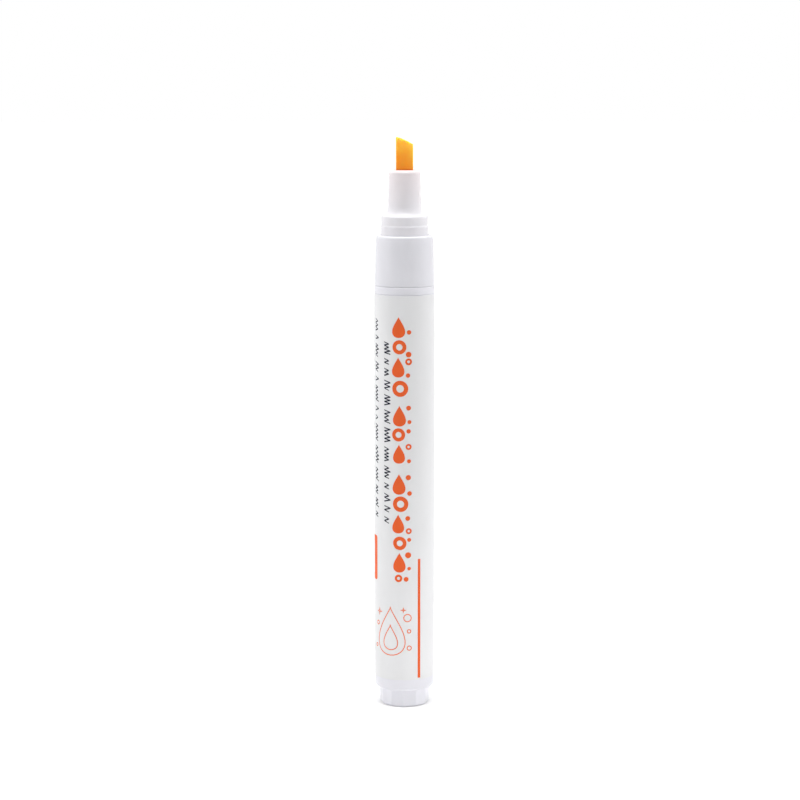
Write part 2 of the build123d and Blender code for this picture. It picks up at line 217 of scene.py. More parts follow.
def fibreMaterial(values):
    # bonded fibre: fine upright strands, paler and yellower towards the dry point
    material, tree, shader = newMaterial(
        "nibFibre", Roughness=0.7, Specular_IOR_Level=0.3, Sheen_Weight=0.2, Sheen_Roughness=0.35,
        Subsurface_Weight=1.0, Subsurface_Scale=2.2 * mm, Subsurface_Radius=(1.0, 0.5, 0.12))
    place = addNode(tree, "ShaderNodeTexCoord")
    split = addNode(tree, "ShaderNodeSeparateXYZ")
    tree.links.new(place.outputs["Object"], split.inputs["Vector"])
    rise = addNode(tree, "ShaderNodeMapRange", {
        "From Min": values["wetHeight"] * mm, "From Max": values["dryHeight"] * mm})
    tree.links.new(split.outputs["Z"], rise.inputs["Value"])
    # painted light: the fibre's colour is made paler towards its right side, where light falls on it
    across = addNode(tree, "ShaderNodeMapRange", {
        "From Min": values["litSide"][0] * mm, "From Max": values["litSide"][1] * mm})
    tree.links.new(split.outputs["X"], across.inputs["Value"])
    lift = addNode(tree, "ShaderNodeMath", {1: values["litSideAmount"]}, operation="MULTIPLY")
    tree.links.new(across.outputs["Result"], lift.inputs[0])
    stretch = addNode(tree, "ShaderNodeMapping", {"Scale": (5200, 5200, 420)})
    strands = addNode(tree, "ShaderNodeTexNoise", {"Scale": 1.0, "Detail": 4.0, "Roughness": 0.6})
    tree.links.new(place.outputs["Object"], stretch.inputs["Vector"])
    tree.links.new(stretch.outputs["Vector"], strands.inputs["Vector"])
    soak = addNode(tree, "ShaderNodeTexNoise", {"Scale": 620, "Detail": 3.0})
    tree.links.new(place.outputs["Object"], soak.inputs["Vector"])
    stray = addNode(tree, "ShaderNodeMath", {1: values["soakAmount"], 2: -values["soakAmount"] / 2},
                    operation="MULTIPLY_ADD")
    tree.links.new(soak.outputs["Fac"], stray.inputs[0])
    height = addNode(tree, "ShaderNodeMath", operation="ADD")
    tree.links.new(rise.outputs["Result"], height.inputs[0])
    tree.links.new(lift.outputs[0], height.inputs[1])
    level = addNode(tree, "ShaderNodeMath", operation="ADD", use_clamp=True)
    tree.links.new(height.outputs[0], level.inputs[0])
    tree.links.new(stray.outputs[0], level.inputs[1])
    ramp = addNode(tree, "ShaderNodeValToRGB")
    ramp.color_ramp.elements[0].color = (*values["base"], 1)
    ramp.color_ramp.elements[1].color = (*values["point"], 1)
    for position, colour in values["between"]:
        ramp.color_ramp.elements.new(position).color = (*colour, 1)
    tree.links.new(level.outputs[0], ramp.inputs["Fac"])
    shade = mixColours(tree, spread(tree, strands.outputs["Fac"], 0.0, values["strandAmount"]),
                       ramp.outputs["Color"], values["strand"])
    # a dark orange line at the nib's foot, partly the wetter fibre there and partly painted shade under the
    # rim of the mouth
    foot = addNode(tree, "ShaderNodeMapRange", {
        "From Min": (values["wetHeight"] + values["wetFootShadeBand"][0]) * mm,
        "From Max": (values["wetHeight"] + values["wetFootShadeBand"][1]) * mm})
    tree.links.new(split.outputs["Z"], foot.inputs["Value"])
    line = addNode(tree, "ShaderNodeMix", data_type="RGBA")
    line.inputs["A"].default_value = (*values["wetFootShade"], 1)
    tree.links.new(foot.outputs["Result"], line.inputs["Factor"])
    tree.links.new(shade, line.inputs["B"])
    tree.links.new(line.outputs["Result"], shader.inputs["Base Color"])
    # painted glow: the fibre gives out a little orange light of its own, stronger towards the point and its
    # lit side, so it looks brighter than its colour can reflect
    tree.links.new(mixColours(tree, level.outputs[0], (0.0, 0.0, 0.0), values["paintedGlow"]),
                   shader.inputs["Emission Color"])
    shader.inputs["Emission Strength"].default_value = values["paintedGlowStrength"]
    bump(tree, shader, strands.outputs["Fac"], reliefDepth["fibre"])
    return material


def rubberMaterial(values):
    material, tree, shader = newMaterial("sealRubber", Specular_IOR_Level=0.35)
    grain = placeGroup(tree, mouldGrain, Fineness=7000, Flow=500)
    tree.links.new(mixColours(tree, grain.outputs["Tone"], values["dark"], values["light"]),
                   shader.inputs["Base Color"])
    tree.links.new(spread(tree, grain.outputs["Height"], *values["rough"]), shader.inputs["Roughness"])
    bump(tree, shader, grain.outputs["Height"], reliefDepth["rubber"])
    return material


def wireMaterial(values):
    material, tree, shader = newMaterial("springSteel", Metallic=1.0, Anisotropic=0.4)
    place = addNode(tree, "ShaderNodeTexCoord")
    stretch = addNode(tree, "ShaderNodeMapping", {"Scale": (900, 900, 9000)})
    drawn = addNode(tree, "ShaderNodeTexNoise", {"Scale": 1.0, "Detail": 3.0})
    tree.links.new(place.outputs["Object"], stretch.inputs["Vector"])
    tree.links.new(stretch.outputs["Vector"], drawn.inputs["Vector"])
    tree.links.new(mixColours(tree, drawn.outputs["Fac"], values["dark"], values["light"]),
                   shader.inputs["Base Color"])
    tree.links.new(spread(tree, drawn.outputs["Fac"], *values["rough"]), shader.inputs["Roughness"])
    bump(tree, shader, drawn.outputs["Fac"], reliefDepth["wire"])
    return material


barrelWhite = mouldedPlastic("barrelWhite", (0.79, 0.785, 0.835), (0.83, 0.825, 0.875), 0.36, glow=0.1)
gripWhite = mouldedPlastic("gripWhite", (0.765, 0.76, 0.805), (0.805, 0.8, 0.845), 0.4, depth=0.006,
                           glow=0.1, smears=0.6)
nozzleWhite = mouldedPlastic(
    "nozzleWhite", (0.805, 0.79, 0.825), (0.845, 0.83, 0.865), 0.38, glow=0.2, smears=0.25,
    stain={"low": 124.0, "high": 134.4, "amount": 0.5, "colour": (0.86, 0.74, 0.74)})
plugWhite = mouldedPlastic("plugWhite", (0.85, 0.845, 0.9), (0.89, 0.885, 0.94), 0.34, glow=0.15)
milkyPlastic = mouldedPlastic("milkyPlastic", (0.7, 0.7, 0.69), (0.78, 0.78, 0.77), 0.42,
                              fineness=4200, glow=0.3, smears=0.1)
filmWhite = labelFilmMaterial({"dark": (0.795, 0.795, 0.805), "light": (0.83, 0.83, 0.84),
                               "streak": (0.845, 0.845, 0.855), "streakAmount": 0.25, "rough": 0.46})
orangeInk = printedInk("orangeInk", (0.87, 0.125, 0.022), 0.46)
lineInk = printedInk("lineInk", (0.86, 0.2, 0.07), 0.46)
darkInk = printedInk("darkInk", (0.018, 0.02, 0.036), 0.5)
whiteInk = printedInk("whiteInk", (0.8, 0.8, 0.8), 0.45)
# this nib's lit side and glow are painted light, and its dark foot line is partly painted shade
nibFibre = fibreMaterial({
    "wetHeight": 134.45, "dryHeight": 142.4, "base": (1.0, 0.3, 0.01), "point": (1.0, 0.69, 0.08),
    "between": ((0.3, (1.0, 0.36, 0.014)), (0.62, (1.0, 0.49, 0.035))), "strand": (1.0, 0.51, 0.06),
    "strandAmount": 0.32, "soakAmount": 0.5, "litSide": (0.2, 2.1), "litSideAmount": 0.3,
    "wetFootShade": (0.85, 0.2, 0.006), "wetFootShadeBand": (0.15, 0.5),
    "paintedGlow": (1.0, 0.36, 0.01), "paintedGlowStrength": 0.14})
sealRubber = rubberMaterial({"dark": (0.2, 0.2, 0.21), "light": (0.3, 0.3, 0.31), "rough": (0.55, 0.8)})
springSteel = wireMaterial({"dark": (0.45, 0.45, 0.47), "light": (0.68, 0.68, 0.7), "rough": (0.2, 0.38)})
print("materials made")


# Modelling helpers, with their tolerances in millimetres

mergeDistance = 0.0005
cutTolerance = 0.0001
levelTolerance = 0.001


def turn(section, steps=128, closed=True):
    # spins a half section of (radius, height) points round the pen's axis
    bm = bmesh.new()
    points = [bm.verts.new((radius, 0, height)) for radius, height in section]
    edges = [bm.edges.new(pair) for pair in zip(points, points[1:])]
    if closed:
        edges.append(bm.edges.new((points[-1], points[0])))
    bmesh.ops.spin(bm, geom=points + edges, axis=(0, 0, 1), cent=(0, 0, 0), dvec=(0, 0, 0),
                   angle=2 * pi, steps=steps, use_merge=True, use_duplicate=False)
    bmesh.ops.remove_doubles(bm, verts=bm.verts, dist=mergeDistance)
    if closed:
        bmesh.ops.recalc_face_normals(bm, faces=bm.faces)
    return bm


def ringEdges(bm, radius, height, slack=0.004):
    def onRing(vert):
        return abs(vert.co.xy.length - radius) < slack and abs(vert.co.z - height) < slack
    return [edge for edge in bm.edges if all(onRing(vert) for vert in edge.verts)]


def roundEdges(bm, edges, width, segments=4):
    bmesh.ops.bevel(bm, geom=edges, offset=width, offset_type="OFFSET", segments=segments,
                    profile=0.5, affect="EDGES", material=-1, clamp_overlap=True)


def roundRings(bm, rings):
    for radius, height, width, segments in rings:
        roundEdges(bm, ringEdges(bm, radius, height), width, segments)


def cutAcross(bm, place):
    # cuts all faces along the plane where X is place
    bmesh.ops.bisect_plane(bm, geom=bm.verts[:] + bm.edges[:] + bm.faces[:], dist=cutTolerance,
                           plane_co=(place, 0, 0), plane_no=(1, 0, 0))


def hollowCurve(centre, across, up, steps):
    # a quarter of an oval, from its side down to its foot
    return [(centre[0] - across * cos(k * pi / 2 / steps), centre[1] - up * sin(k * pi / 2 / steps))
            for k in range(steps + 1)]


def addToScene(name, data):
    made = bpy.data.objects.new(name, data)
    bpy.context.scene.collection.objects.link(made)
    return made


def finishPiece(bm, name, body, material, replaced=(), sharpAngle=32):
    bm.transform(Matrix.Scale(mm, 4))
    mesh = bpy.data.meshes.new(name)
    bm.to_mesh(mesh)
    bm.free()
    mesh.materials.append(material)
    mesh.shade_smooth()
    mesh.set_sharp_from_angle(angle=radians(sharpAngle))
    piece = addToScene(name, mesh)
    even = piece.modifiers.new("evenShading", "WEIGHTED_NORMAL")
    even.keep_sharp = True
    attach(piece, body)
    if replaced:
        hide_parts(*replaced)
    return piece


# Barrel

barrel = {
    "section": [
        (5.85, 4.35), (5.95, 4.25), (7.4, 4.25), (7.4, 104.02), (7.27, 104.08), (7.27, 104.2),
        (7.4, 104.26), (7.4, 106.1), (6.37, 106.1), (6.37, 108.7), (6.59, 108.92), (6.59, 109.48),
        (6.37, 109.7), (6.37, 114.67), (6.27, 114.77), (5.07, 114.77), (5.07, 102.63), (5.85, 100.63)],
    "rounds": [(7.4, 4.25, 1.25, 8), (7.4, 106.1, 0.3, 4)],
}
bm = turn(barrel["section"])
roundRings(bm, barrel["rounds"])
finishPiece(bm, "barrelTube", "pen", barrelWhite, ["barrel"])
print("barrel made")


# Grip sleeve

gripSleeve = {
    "section": [
        (6.42, 106.1), (7.37, 106.1), (7.19, 112.8), (7.11, 116.0), (7.06, 117.2), (6.9, 118.47),
        (5.89, 118.47), (5.89, 117.27),
        (6.42, 117.27), (6.42, 109.75), (6.64, 109.53), (6.64, 108.87), (6.42, 108.65)],
    "rounds": [(7.37, 106.1, 0.15, 3), (7.11, 116.0, 0.5, 2), (7.06, 117.2, 0.65, 4),
               (6.9, 118.47, 0.42, 6), (5.89, 118.47, 0.03, 2)],
}
bm = turn(gripSleeve["section"])
roundRings(bm, gripSleeve["rounds"])
finishPiece(bm, "gripCollar", "pen", gripWhite, ["grip_sleeve"])
print("grip sleeve made")


# Nozzle

nozzle = {
    "flange": [(4.274, 116.27), (6.37, 116.27), (6.37, 117.27), (5.5, 117.27), (5.5, 118.12),
               (5.85, 118.47), (5.85, 120.65), (5.73, 121.0), (5.7, 123.35)],
    "rootRadius": 4.12, "landRadius": 5.352, "shoulderHeight": 123.35, "curveHeight": 2.3, "curveSteps": 10,
    "tipRadius": 3.82, "top": 134.45, "flatTop": 2.92,
    "rounds": [(5.7, 123.35, 0.313, 6), (5.73, 121.0, 0.12, 3), (5.85, 120.65, 0.12, 3),
               (3.82, 134.45, 0.8, 8)],
    "chamber": [(2.951, 130.15), (2.951, 124.23), (4.274, 123.03)],
    "mouthWidth": 4.45, "mouthThickness": 3.2, "mouthCorner": 0.25, "mouthDepth": 4.3,
    "ventPlace": 1.1125, "ventRadius": 0.35, "ventRound": 0.95, "mouthEdge": 0.05, "mouthReach": 3.0,
}


def mouthOutline(bm, values, height):
    # the slot that the nib stands in, with two air grooves along each broad side
    halfWidth, halfThick = values["mouthWidth"] / 2, values["mouthThickness"] / 2
    place, vent = values["ventPlace"], values["ventRadius"]
    side = [(halfWidth, halfThick), (place + vent, halfThick), (place, halfThick + vent),
            (place - vent, halfThick), (vent - place, halfThick), (-place, halfThick + vent),
            (-place - vent, halfThick), (-halfWidth, halfThick)]
    points = side + [(-x, -y) for x, y in side]
    face = bm.faces.new([bm.verts.new((x, y, height)) for x, y in points])
    tips = [vert for vert in face.verts if abs(abs(vert.co.y) - halfThick - vent) < levelTolerance]
    corners = [vert for vert in face.verts if abs(abs(vert.co.x) - halfWidth) < levelTolerance]
    for chosen, width in ((tips, vent * values["ventRound"]), (corners, values["mouthCorner"])):
        bmesh.ops.bevel(bm, geom=chosen, offset=width, offset_type="OFFSET", segments=5, profile=0.5,
                        affect="VERTICES", material=-1)
    # the mouth's own face is the one with many edges
    loop = [edge for edge in bm.edges if all(len(f.edges) > len(side) for f in edge.link_faces) and
            all(abs(v.co.z - height) < levelTolerance and v.co.xy.length < values["mouthReach"]
                for v in edge.verts)]
    flat = [f for f in bm.faces if all(edge in loop for edge in f.edges)]
    bmesh.ops.delete(bm, geom=flat, context="FACES_ONLY")
    return loop


def makeNozzle(values):
    curve = hollowCurve((values["landRadius"], values["shoulderHeight"] + values["curveHeight"]),
                        values["landRadius"] - values["rootRadius"], values["curveHeight"],
                        values["curveSteps"])
    section = (values["chamber"] + values["flange"] + curve[::-1] +
               [(values["tipRadius"], values["top"]), (values["flatTop"], values["top"])])
    bm = turn(section, closed=False)
    roundRings(bm, values["rounds"])
    topRing = ringEdges(bm, values["flatTop"], values["top"])
    boreRing = ringEdges(bm, *values["chamber"][0])
    loop = mouthOutline(bm, values, values["top"])
    walls = bmesh.ops.extrude_edge_only(bm, edges=loop)["geom"]
    lowered = [v for v in walls if isinstance(v, bmesh.types.BMVert)]
    bmesh.ops.translate(bm, verts=lowered, vec=(0, 0, -values["mouthDepth"]))
    lowLoop = [e for e in walls if isinstance(e, bmesh.types.BMEdge) and
               all(v in lowered for v in e.verts)]
    bmesh.ops.bridge_loops(bm, edges=topRing + loop)
    bmesh.ops.bridge_loops(bm, edges=boreRing + lowLoop)
    bmesh.ops.recalc_face_normals(bm, faces=bm.faces)
    roundEdges(bm, loop, values["mouthEdge"], 2)
    return bm


bm = makeNozzle(nozzle)
finishPiece(bm, "nozzleTip", "pen", nozzleWhite, ["nozzle"])
print("nozzle made")


# End plug

endPlug = {
    "sides": 12, "corner": 6.22, "height": 4.25, "draft": 1.0, "turned": 28.5,
    "footRound": 0.55, "sideRound": 0.12, "gateInsets": (3.9, 0.12), "gateDepth": 0.12,
    # how the knob's rim and upright edges are told apart
    "rimReach": 5.95, "facetReach": 6.1, "facetLength": 2.5, "sharpAngle": 24,
    "spigot": [(4.49, 13.25), (4.49, 1.6), (0, 1.6)],
    "outside": [(5.79, 4.25), (5.79, 6.45), (5.83, 6.51), (5.83, 6.89), (5.79, 6.95), (5.79, 8.65),
                (5.83, 8.71), (5.83, 9.09), (5.79, 9.15), (5.79, 10.85), (5.83, 10.91), (5.83, 11.29),
                (5.79, 11.35), (5.79, 12.35), (5.44, 13.25)],
}


def makeEndPlug(values):
    bm = turn(values["outside"] + values["spigot"], steps=96, closed=False)
    shelf = ringEdges(bm, *values["outside"][0])
    knob = bmesh.ops.create_circle(bm, cap_ends=False, segments=values["sides"], radius=values["corner"],
                                   matrix=Matrix.Translation((0, 0, values["height"])) @
                                   Matrix.Rotation(radians(values["turned"]), 4, "Z"))["verts"]
    top = list({edge for vert in knob for edge in vert.link_edges})
    sides = bmesh.ops.extrude_edge_only(bm, edges=top)["geom"]
    low = [g for g in sides if isinstance(g, bmesh.types.BMVert)]
    bmesh.ops.translate(bm, verts=low, vec=(0, 0, -values["height"]))
    flatRadius = values["corner"] * cos(pi / values["sides"])
    shrink = 1 - values["height"] * tan(radians(values["draft"])) / flatRadius
    bmesh.ops.scale(bm, verts=low, vec=(shrink, shrink, 1))
    base = [g for g in sides if isinstance(g, bmesh.types.BMEdge) and all(v in low for v in g.verts)]
    bmesh.ops.edgeloop_fill(bm, edges=base)
    roundEdges(bm, base, values["footRound"], 6)
    foot = next(f for f in bm.faces if len(f.verts) == values["sides"])
    for width in values["gateInsets"]:
        bmesh.ops.inset_individual(bm, faces=[foot], thickness=width)
    bmesh.ops.translate(bm, verts=list(foot.verts), vec=(0, 0, values["gateDepth"]))
    rim = [e for e in bm.edges if len(e.link_faces) == 1 and
           all(abs(v.co.z - values["height"]) < levelTolerance and
               v.co.xy.length > values["rimReach"] for v in e.verts)]
    bmesh.ops.bridge_loops(bm, edges=shelf + rim)
    bmesh.ops.recalc_face_normals(bm, faces=bm.faces)
    facets = [e for e in bm.edges if len(e.link_faces) == 2 and
              abs(e.verts[0].co.z - e.verts[1].co.z) > values["facetLength"] and
              e.verts[0].co.xy.length > values["facetReach"]]
    roundEdges(bm, facets, values["sideRound"], 2)
    return bm


bm = makeEndPlug(endPlug)
finishPiece(bm, "endPlug", "pen", plugWhite, ["rear_plug"],
            sharpAngle=endPlug["sharpAngle"])
print("end plug made")


# Nib

nib = {
    "width": 4.25, "thickness": 3.0, "foot": 118.93, "point": 142.43, "slant": 22.5,
    "crown": 0.21, "crownLean": 0.75,
    "crownCuts": (0.03, 0.08, 0.15, 0.25, 0.38, 0.52, 0.66, 0.79, 0.89, 0.95),
    "sideRound": 0.25, "topRound": 0.14, "heelRound": 0.3,
    # how the edges and faces to be rounded are told apart
    "uprightLength": 1, "topBand": 1, "heelBand": 3, "heelLength": 1.5, "sideSlack": 0.01, "topTilt": 0.3,
}


def makeNib(values):
    bm = bmesh.new()
    bmesh.ops.create_cube(bm, size=1)
    length = values["point"] - values["foot"]
    bmesh.ops.scale(bm, verts=bm.verts, vec=(values["width"], values["thickness"], length))
    bmesh.ops.translate(bm, verts=bm.verts, vec=(0, 0, values["foot"] + length / 2))
    uprights = [e for e in bm.edges if
                abs(e.verts[0].co.z - e.verts[1].co.z) > values["uprightLength"]]
    roundEdges(bm, uprights, values["sideRound"], 5)
    for share in values["crownCuts"]:
        cutAcross(bm, values["width"] * (share - 0.5))
    drop = values["width"] * tan(radians(values["slant"]))
    for vert in bm.verts:
        if vert.co.z > values["point"] - values["topBand"]:
            along = min(1.0, max(0.0, vert.co.x / values["width"] + 0.5))
            lean = 1 + values["crownLean"] - along
            vert.co.z += values["crown"] * lean * sqrt(4 * along * (1 - along)) - drop * along
    heel = [e for e in bm.edges if e.calc_length() > values["heelLength"] and
            all(v.co.z > values["point"] - values["heelBand"] and
                v.co.x > values["width"] / 2 - values["sideSlack"] for v in e.verts)]
    roundEdges(bm, heel, values["heelRound"], 4)
    top = [f for f in bm.faces if f.normal.z > values["topTilt"]]
    edge = [e for e in bm.edges if sum(f in top for f in e.link_faces) == 1]
    roundEdges(bm, edge, values["topRound"], 3)
    return bm


bm = makeNib(nib)
finishPiece(bm, "nibBar", "nib", nibFibre, ["nib"])
print("nib made")


# Label and its print

label = {
    "inner": 7.41, "thickness": 0.08, "foot": 7.35, "top": 104.0, "corner": 2.0,
    "edgeWidth": 0.15, "edgeDrop": 0.075,
    "seamAngle": 93.0, "seamWidth": 2.4, "cutStep": 0.55,
    "inkLift": 0.002, "inkThickness": 0.014, "inkGap": 0.002, "upward": 0.9, "sharpAngle": 50,
}
labelRadius = label["inner"] + label["thickness"]
around = 2 * pi * labelRadius
seamPlace = radians(label["seamAngle"]) * labelRadius
labelEnds = (seamPlace + label["seamWidth"] / 2 - around, seamPlace - label["seamWidth"] / 2)


def wrapRound(bm, radius):
    # cuts a flat sheet into narrow strips and bends it round the barrel, where X runs
    # round the pen from its front, Y along it, and Z is the height above the radius
    steps = int(around / label["cutStep"])
    for k in range(-steps, steps):
        cutAcross(bm, k * label["cutStep"])
    for vert in bm.verts:
        turned = vert.co.x / labelRadius
        reach = radius + vert.co.z
        vert.co = Vector((reach * sin(turned), -reach * cos(turned), vert.co.y))


def flatPlate(bm, centre, size, corner, segments=6):
    made = bmesh.ops.create_grid(bm, x_segments=1, y_segments=1, size=0.5,
                                 matrix=Matrix.Translation((*centre, 0)) @
                                 Matrix.Diagonal((*size, 1, 1)))["verts"]
    bmesh.ops.bevel(bm, geom=made, offset=corner, offset_type="OFFSET", segments=segments, profile=0.5,
                    affect="VERTICES", material=-1)


def makeLabel(values):
    bm = bmesh.new()
    length = values["top"] - values["foot"]
    flatPlate(bm, ((labelEnds[0] + labelEnds[1]) / 2, values["foot"] + length / 2),
              (labelEnds[1] - labelEnds[0], length), values["corner"], 10)
    for face in bm.faces:
        if face.normal.z < 0:
            face.normal_flip()
    bmesh.ops.solidify(bm, geom=bm.faces[:], thickness=values["thickness"])
    bmesh.ops.recalc_face_normals(bm, faces=bm.faces)
    low = min(vert.co.z for vert in bm.verts)
    bmesh.ops.translate(bm, verts=bm.verts, vec=(0, 0, -low))
    outside = next(face for face in bm.faces if face.normal.z > values["upward"])
    rim = list(outside.verts)   # the film thins towards its cut edge
    bmesh.ops.inset_individual(bm, faces=[outside], thickness=values["edgeWidth"])
    bmesh.ops.translate(bm, verts=[v for v in rim if v.is_valid and v not in outside.verts],
                        vec=(0, 0, -values["edgeDrop"]))
    wrapRound(bm, values["inner"])
    return bm


finishPiece(makeLabel(label), "labelFilm", "pen", filmWhite, ["label"],
            sharpAngle=label["sharpAngle"])
print("label made")


markShapes = {
    "discSides": 36, "dropFullness": 0.9, "dropTaper": 0.75,
    "sparkleSides": 8, "sparkleWaist": 0.3,
}


def disc(bm, place, size):
    return bmesh.ops.create_circle(bm, cap_ends=True, segments=markShapes["discSides"], radius=size / 2,
                                   matrix=Matrix.Translation((*place, 0)))["verts"]


def droplet(bm, place, size):
    # a disc drawn in more and more towards a point at its upper end
    made = disc(bm, (0, 0), size)
    for vert in made:
        narrowing = max(0.0, 0.5 - vert.co.y / size) ** markShapes["dropTaper"]
        vert.co.x *= markShapes["dropFullness"] * narrowing
    bmesh.ops.translate(bm, verts=made, vec=(*place, 0))
    return made


def sparkle(bm, place, size):
    made = bmesh.ops.create_circle(bm, cap_ends=True, segments=markShapes["sparkleSides"], radius=size / 2,
                                   matrix=Matrix.Translation((*place, 0)))["verts"]
    for vert in made[1::2]:
        vert.co.x = place[0] + (vert.co.x - place[0]) * markShapes["sparkleWaist"]
        vert.co.y = place[1] + (vert.co.y - place[1]) * markShapes["sparkleWaist"]
    return made


def outlined(bm, made, stroke):
    # turns a filled mark into a line of even width
    face = made[0].link_faces[0]
    bmesh.ops.inset_individual(bm, faces=[face], thickness=stroke)
    bmesh.ops.delete(bm, geom=[face], context="FACES_ONLY")


marks = {"disc": disc, "droplet": droplet, "sparkle": sparkle}


def drawMark(bm, kind, across, up, size, stroke):
    made = marks[kind](bm, (across, up), size)
    if stroke:
        outlined(bm, made, stroke)


def finishPrint(bm, name, material, lift=label["inkLift"]):
    for face in bm.faces:
        face.normal_update()
        if face.normal.z < 0:
            face.normal_flip()
    bmesh.ops.solidify(bm, geom=bm.faces[:], thickness=label["inkThickness"])
    bmesh.ops.recalc_face_normals(bm, faces=bm.faces)
    low = min(vert.co.z for vert in bm.verts)
    bmesh.ops.translate(bm, verts=bm.verts, vec=(0, 0, -low))
    wrapRound(bm, labelRadius + lift)
    finishPiece(bm, name, "pen", material, sharpAngle=label["sharpAngle"])


# each mark: its kind, its place round the front and up the pen, its size, and its line's width or 0
bubbleStream = [
    ("droplet", -1.5, 96.3, 5.2, 0), ("disc", 1.1, 95.1, 1.1, 0), ("disc", -1.3, 91.4, 3.5, 0.95),
    ("disc", 1.0, 89.6, 1.4, 0), ("droplet", -1.6, 86.4, 5.0, 0), ("disc", 1.0, 87.8, 1.7, 0.5),
    ("disc", 0.85, 84.4, 1.1, 0), ("disc", -1.1, 81.1, 4.0, 1.05), ("droplet", -1.3, 74.3, 5.2, 0),
    ("disc", 1.0, 76.3, 1.2, 0), ("disc", 1.2, 72.8, 1.0, 0), ("disc", -1.5, 69.6, 3.3, 0.9),
    ("disc", 1.0, 70.5, 1.1, 0), ("droplet", -1.4, 64.8, 4.8, 0), ("disc", 1.0, 66.6, 1.5, 0.45),
    ("disc", 1.1, 63.0, 1.0, 0), ("droplet", -1.4, 57.2, 5.2, 0), ("disc", 0.95, 58.9, 1.3, 0),
    ("disc", -1.0, 52.2, 3.9, 1.05), ("disc", 1.25, 54.9, 1.15, 0), ("droplet", -1.6, 47.2, 4.8, 0),
    ("disc", 0.8, 48.6, 1.2, 0), ("disc", 1.05, 45.4, 1.5, 0.45), ("disc", -1.2, 42.3, 3.4, 0.95),
    ("disc", 1.15, 43.2, 1.0, 0), ("droplet", -1.3, 37.4, 5.0, 0), ("disc", 0.9, 39.3, 1.5, 0),
    ("disc", 1.15, 35.9, 0.9, 0), ("disc", -1.5, 33.4, 1.9, 0.55), ("disc", 0.4, 33.2, 1.2, 0),
]
bm = bmesh.new()
for mark in bubbleStream:
    drawMark(bm, *mark)
panel = {"centre": (-12.3, 37.8), "size": (7.7, 11.3), "corner": 0.7}
stripe = {"centre": (3.79, 23.0), "size": (0.72, 30.4), "corner": 0.1}
for plate in (panel, stripe):
    flatPlate(bm, plate["centre"], plate["size"], plate["corner"])
finishPrint(bm, "printOrange", orangeInk)
panelBars = {
    "width": 0.85, "corner": 0.3, "segments": 4,
    "rows": [(-14.6, 37.9, 8.6), (-12.9, 38.6, 7.2), (-11.2, 37.7, 8.2)],
}
bm = bmesh.new()
for across, up, length in panelBars["rows"]:
    flatPlate(bm, (across, up), (panelBars["width"], length), panelBars["corner"],
              panelBars["segments"])
finishPrint(bm, "printWhite", whiteInk, label["inkLift"] + label["inkThickness"] + label["inkGap"])
print("orange and white print made")

lineDrawing = {
    "stroke": 0.24,
    "marks": [("droplet", -3.7, 19.8, 12.6), ("droplet", -3.7, 18.2, 6.6), ("disc", 0.75, 23.3, 2.1),
              ("disc", 1.15, 19.9, 1.1), ("disc", 1.2, 15.6, 1.3), ("sparkle", -0.3, 25.3, 1.7),
              ("sparkle", -7.3, 24.4, 2.2), ("disc", -7.9, 21.4, 1.2), ("disc", -8.5, 15.6, 1.0)],
}
bm = bmesh.new()
for mark in lineDrawing["marks"]:
    drawMark(bm, *mark, lineDrawing["stroke"])
finishPrint(bm, "printDrawing", lineInk)

# rows of slanted pen strokes in place of the small print: middle of the row round the pen,
# its upper and lower end, the height of a stroke, and the gap between strokes
strokeRows = {
    "rows": [(-4.85, 92.7, 47.1, 1.4, 0.46), (-8.75, 98.2, 47.8, 1.3, 0.46),
             (-12.2, 98.2, 52.0, 1.0, 0.5), (-14.6, 98.2, 49.0, 1.0, 0.5), (-17.0, 98.2, 55.5, 1.0, 0.5),
             (-20.6, 98.2, 50.0, 1.0, 0.5), (-23.0, 98.2, 48.0, 1.0, 0.5), (-25.4, 98.2, 60.0, 1.0, 0.5),
             (-29.0, 98.2, 49.5, 1.0, 0.5), (-31.2, 98.2, 58.0, 1.0, 0.5)],
    "pen": (0.15, -0.3), "seed": 7, "wordLengths": (3, 10), "wordGap": 0.75,
    "risers": (0.5, 0.5, 0.5, 0.8), "unevenness": (0.8, 1.2),
}


def drawStrokes(values):
    chance = random.Random(values["seed"])
    bm = bmesh.new()
    for middle, start, end, height, gap in values["rows"]:
        up = start
        while up > end + 2 * gap:
            count = chance.randint(*values["wordLengths"])
            path = []
            for k in range(count):
                if up < end:
                    break
                tall = height * chance.choice(values["risers"])
                path.append(bm.verts.new((middle + (tall if k % 2 else -height / 2), up, 0)))
                up -= gap * chance.uniform(*values["unevenness"])
            line = [bm.edges.new(pair) for pair in zip(path, path[1:])]
            if line:
                grown = bmesh.ops.extrude_edge_only(bm, edges=line)["geom"]
                moved = [g for g in grown if isinstance(g, bmesh.types.BMVert)]
                bmesh.ops.translate(bm, verts=moved, vec=(*values["pen"], 0))
            up -= values["wordGap"]
    bmesh.ops.delete(bm, geom=[v for v in bm.verts if not v.link_faces], context="VERTS")
    return bm


finishPrint(drawStrokes(strokeRows), "printStrokes", darkInk)
print("small print made")


# Valve spring

spring = {
    "foot": 104.83, "coil": 2.0, "wire": 0.2, "sections": 12, "turnSteps": 40,
    "runs": [(1.0, 0.42), (4.0, 4.36), (1.0, 0.42)],   # turns and rise of the foot, middle and top coils
}


